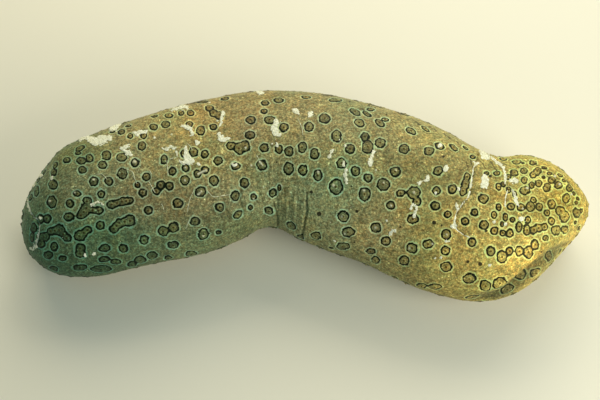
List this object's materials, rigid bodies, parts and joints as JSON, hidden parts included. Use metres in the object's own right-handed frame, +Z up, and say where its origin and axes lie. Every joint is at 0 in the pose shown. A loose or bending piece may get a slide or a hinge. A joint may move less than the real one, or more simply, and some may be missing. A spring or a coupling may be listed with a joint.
{
  "type": "sea cucumber",
  "caption": "Life-size still model of a leopard sea cucumber: a loaf-shaped body bent in plan, lying on its flat sole, with ringed eye spots, and a mouth underneath the head end.",
  "frame": {"origin": "middle of the plan outline at the level of the flat sole", "axes": "+X along the body towards the head end, +Y towards the convex side of the bend, +Z up from the sole to the back"},
  "size_m": [0.3596, 0.1442, 0.0711],
  "materials": {
    "skin": "wet satin, olive brown with ringed spots",
    "skin_head": "wet satin, yellower olive brown with smaller, closer ringed spots",
    "tentacles": "soft satin, pale ochre"
  },
  "bodies": {
    "root": {"head_end": "skin_head", "trunk_front": "skin", "trunk_mid": "skin", "trunk_rear": "skin", "tail_end": "skin", "mouth_tentacles": "tentacles"}
  },
  "joints": []
}
